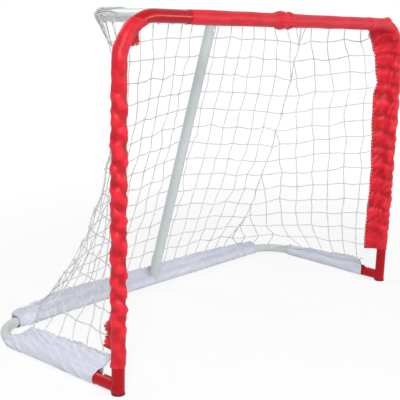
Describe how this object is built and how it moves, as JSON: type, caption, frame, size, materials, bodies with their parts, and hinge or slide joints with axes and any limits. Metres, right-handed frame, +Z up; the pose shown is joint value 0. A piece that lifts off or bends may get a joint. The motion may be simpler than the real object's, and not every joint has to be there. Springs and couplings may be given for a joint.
{
  "type": "hockey goal net",
  "caption": "Knock-down tubular steel hockey goal with fabric post sleeves, floor skirts and a knotted net.",
  "frame": {"origin": "on the floor, below the middle of the goal's overall box", "axes": "+X along the crossbar to the right seen from the front, +Y from the goal mouth to the back, +Z up"},
  "size_m": [1.041, 0.442, 0.7185],
  "materials": {
    "red_paint": "glossy red powder coat",
    "white_paint": "glossy off-white powder coat",
    "grey_paint": "glossy pale grey powder coat",
    "plated_steel": "bright zinc plate",
    "spring_steel": "oiled spring steel",
    "black_plastic": "fine moulded grain",
    "red_satin": "woven polyester with a satin sheen",
    "white_fabric": "coated woven polyester",
    "white_twine": "twisted knotted twine"
  },
  "bodies": {
    "frame": {"left_front_frame": "red_paint", "right_front_frame": "red_paint", "left_post_foot": "black_plastic", "right_post_foot": "black_plastic", "left_base_tube": "white_paint", "right_base_tube": "white_paint", "top_frame": "white_paint", "centre_back_bar": "grey_paint", "centre_bar_screw": "plated_steel", "left_stub_spring": "spring_steel", "right_stub_spring": "spring_steel", "left_spigot_spring": "spring_steel", "right_spigot_spring": "spring_steel", "left_foot_spring": "spring_steel", "right_foot_spring": "spring_steel", "crossbar_spring": "spring_steel", "left_post_sleeve": "red_satin", "right_post_sleeve": "red_satin", "left_crossbar_sleeve": "red_satin", "right_crossbar_sleeve": "red_satin", "left_skirt": "white_fabric", "right_skirt": "white_fabric", "back_skirt": "white_fabric", "back_net": "white_twine", "left_net": "white_twine", "right_net": "white_twine", "top_net": "white_twine", "left_edge_cord": "white_twine", "right_edge_cord": "white_twine"},
    "left_stub_stud": {"left_stub_button": "plated_steel"},
    "right_stub_stud": {"right_stub_button": "plated_steel"},
    "left_spigot_stud": {"left_spigot_button": "plated_steel"},
    "right_spigot_stud": {"right_spigot_button": "plated_steel"},
    "left_foot_stud": {"left_foot_button": "plated_steel"},
    "right_foot_stud": {"right_foot_button": "plated_steel"},
    "crossbar_stud": {"crossbar_button": "plated_steel"}
  },
  "joints": [
    {"name": "left_stub_press", "type": "slide", "parent": "frame", "child": "left_stub_stud", "axis": [0, 0, -1], "range_m": [0, 0.004], "stiffness_N_per_m": 3000, "springref_m": -0.002, "deforming": ["left_stub_spring"]},
    {"name": "right_stub_press", "type": "slide", "parent": "frame", "child": "right_stub_stud", "axis": [0, 0, -1], "range_m": [0, 0.004], "stiffness_N_per_m": 3000, "springref_m": -0.002, "deforming": ["right_stub_spring"]},
    {"name": "left_spigot_press", "type": "slide", "parent": "frame", "child": "left_spigot_stud", "axis": [0, 0, 1], "range_m": [0, 0.004], "stiffness_N_per_m": 3000, "springref_m": -0.002, "deforming": ["left_spigot_spring"]},
    {"name": "right_spigot_press", "type": "slide", "parent": "frame", "child": "right_spigot_stud", "axis": [0, 0, 1], "range_m": [0, 0.004], "stiffness_N_per_m": 3000, "springref_m": -0.002, "deforming": ["right_spigot_spring"]},
    {"name": "left_foot_press", "type": "slide", "parent": "frame", "child": "left_foot_stud", "axis": [0, 0, -1], "range_m": [0, 0.004], "stiffness_N_per_m": 3000, "springref_m": -0.002, "deforming": ["left_foot_spring"]},
    {"name": "right_foot_press", "type": "slide", "parent": "frame", "child": "right_foot_stud", "axis": [0, 0, -1], "range_m": [0, 0.004], "stiffness_N_per_m": 3000, "springref_m": -0.002, "deforming": ["right_foot_spring"]},
    {"name": "crossbar_press", "type": "slide", "parent": "frame", "child": "crossbar_stud", "axis": [0, 0, 1], "range_m": [0, 0.004], "stiffness_N_per_m": 3000, "springref_m": -0.002, "deforming": ["crossbar_spring"]}
  ]
}
